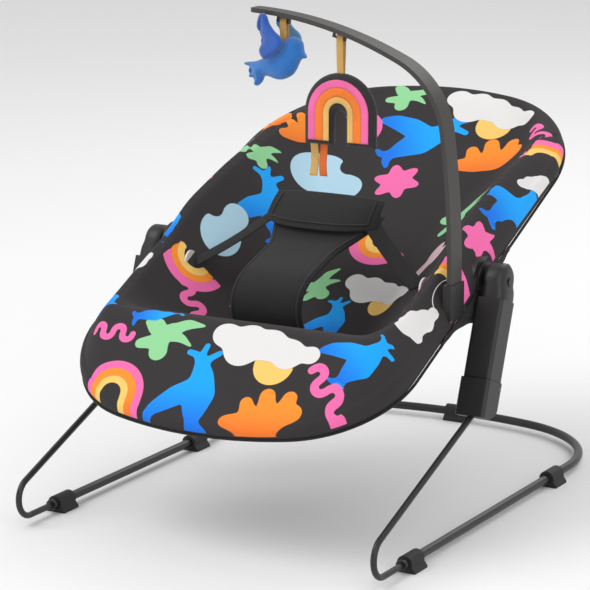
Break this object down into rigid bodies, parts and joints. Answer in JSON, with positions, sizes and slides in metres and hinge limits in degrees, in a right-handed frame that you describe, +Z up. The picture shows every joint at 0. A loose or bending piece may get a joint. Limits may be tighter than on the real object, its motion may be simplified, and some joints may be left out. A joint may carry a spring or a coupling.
{
  "type": "baby bouncer seat",
  "caption": "Baby bouncer: printed sling seat on a tube loop, two side posts, sprung wire base, harness and a toy bar with two hanging toys.",
  "frame": {"origin": "on the floor, in the middle of the base", "axes": "+Z up, -Y towards the foot end (front), +X to the side that carries the toy bar"},
  "size_m": [0.475, 0.661, 0.5622],
  "materials": {
    "black_paint": "satin black powder coat",
    "steel": "plain steel",
    "rubber": "matt black rubber",
    "black_plastic": "satin black moulded plastic",
    "printed_fabric": "charcoal jersey with a multicolour print of clouds, flowers, arcs and birds",
    "black_webbing": "black woven polyester",
    "white_plastic": "white moulded plastic",
    "blue_plush": "short blue plush",
    "yellow_ribbon": "woven satin ribbon",
    "rainbow_felt": "printed padded felt with a charcoal border"
  },
  "bodies": {
    "base": {"base_tube": "black_paint", "spring_rod_right": "black_paint", "crimp_collar_right": "steel", "foot_front_right": "rubber", "foot_rear_right": "rubber", "spring_rod_left": "black_paint", "crimp_collar_left": "steel", "foot_front_left": "rubber", "foot_rear_left": "rubber", "foot_rear_middle": "rubber"},
    "carrier": {"boot_right": "black_plastic", "fold_pin_right": "steel", "boot_left": "black_plastic", "fold_pin_left": "steel"},
    "posts": {"inner_post_right": "steel", "hub_cap_right": "black_plastic", "recline_axle_right": "steel", "inner_post_left": "steel", "hub_cap_left": "black_plastic", "recline_axle_left": "steel"},
    "sleeve_right": {"post_sleeve_right": "black_plastic"},
    "sleeve_left": {"post_sleeve_left": "black_plastic"},
    "button_right": {"recline_button_right": "black_plastic"},
    "button_left": {"recline_button_left": "black_plastic"},
    "seat": {"lock_disc_right": "black_plastic", "lock_disc_left": "black_plastic", "seat_tube_foot": "black_paint", "seat_tube_head": "black_paint", "seat_hub_right": "black_plastic", "seat_hub_left": "black_plastic", "seat_fabric": "printed_fabric", "crotch_pad": "black_webbing", "buckle_body": "black_plastic", "waist_strap_right": "black_webbing", "waist_strap_left": "black_webbing", "strap_eyelet_right": "white_plastic", "strap_eyelet_left": "white_plastic", "toy_bar_socket": "black_plastic"},
    "flap": {"buckle_flap": "black_webbing"},
    "tongue_right": {"buckle_tongue_right": "black_plastic"},
    "tongue_left": {"buckle_tongue_left": "black_plastic"},
    "toy_bar": {"toy_bar": "black_plastic"},
    "bird": {"bird_toy": "blue_plush", "bird_ribbon": "yellow_ribbon"},
    "rainbow": {"rainbow_toy": "rainbow_felt", "rainbow_ribbon": "yellow_ribbon", "rainbow_tails": "yellow_ribbon"}
  },
  "joints": [
    {"name": "bounce", "type": "hinge", "parent": "base", "child": "carrier", "pos_m": [0, -0.3055, 0.0315], "axis": [1, 0, 0], "range_deg": [-6, 1.5], "stiffness_Nm_per_rad": 260, "springref_deg": 1.43, "deforming": ["spring_rod_right", "spring_rod_left"]},
    {"name": "fold", "type": "hinge", "parent": "carrier", "child": "posts", "pos_m": [0, -0.06466, 0.15729], "axis": [1, 0, 0], "range_deg": [-76, 0]},
    {"name": "hub_fold", "type": "hinge", "parent": "posts", "child": "seat", "pos_m": [0, -0.03341, 0.26945], "axis": [1, 0, 0], "range_deg": [0, 51.6]},
    {"name": "sleeve_lift_right", "type": "slide", "parent": "posts", "child": "sleeve_right", "axis": [0, 0.3502, 0.9367], "range_m": [0, 0.0142]},
    {"name": "recline_button_right", "type": "slide", "parent": "posts", "child": "button_right", "axis": [-1, 0, 0], "range_m": [0, 0.0015], "stiffness_N_per_m": 900},
    {"name": "buckle_release_right", "type": "slide", "parent": "seat", "child": "tongue_right", "axis": [1, 0, 0], "range_m": [0, 0.018], "deforming": ["waist_strap_right"]},
    {"name": "sleeve_lift_left", "type": "slide", "parent": "posts", "child": "sleeve_left", "axis": [0, 0.3502, 0.9367], "range_m": [0, 0.0142]},
    {"name": "recline_button_left", "type": "slide", "parent": "posts", "child": "button_left", "axis": [1, 0, 0], "range_m": [0, 0.0015], "stiffness_N_per_m": 900},
    {"name": "buckle_release_left", "type": "slide", "parent": "seat", "child": "tongue_left", "axis": [-1, 0, 0], "range_m": [0, 0.018], "deforming": ["waist_strap_left"]},
    {"name": "flap_lift", "type": "hinge", "parent": "seat", "child": "flap", "pos_m": [0, -0.01454, 0.34021], "axis": [1, 0, 0], "range_deg": [-110, 0]},
    {"name": "toy_bar_pull", "type": "slide", "parent": "seat", "child": "toy_bar", "axis": [0, 0, 1], "range_m": [0, 0.03]},
    {"name": "bird_swing", "type": "hinge", "parent": "toy_bar", "child": "bird", "pos_m": [-0.00974, -0.1055, 0.54789], "axis": [0, 1, 0], "range_deg": [-15, 15], "deforming": ["bird_ribbon"]},
    {"name": "rainbow_swing", "type": "hinge", "parent": "toy_bar", "child": "rainbow", "pos_m": [0.06057, -0.1055, 0.53426], "axis": [0, 1, 0], "range_deg": [-15, 15], "deforming": ["rainbow_ribbon"]}
  ],
  "couplings": [
    {"joint": "hub_fold", "follows": "fold", "ratio": -0.675},
    {"joint": "sleeve_lift_right", "follows": "fold", "m_per_rad": -0.010554},
    {"joint": "sleeve_lift_left", "follows": "fold", "m_per_rad": -0.010554}
  ]
}
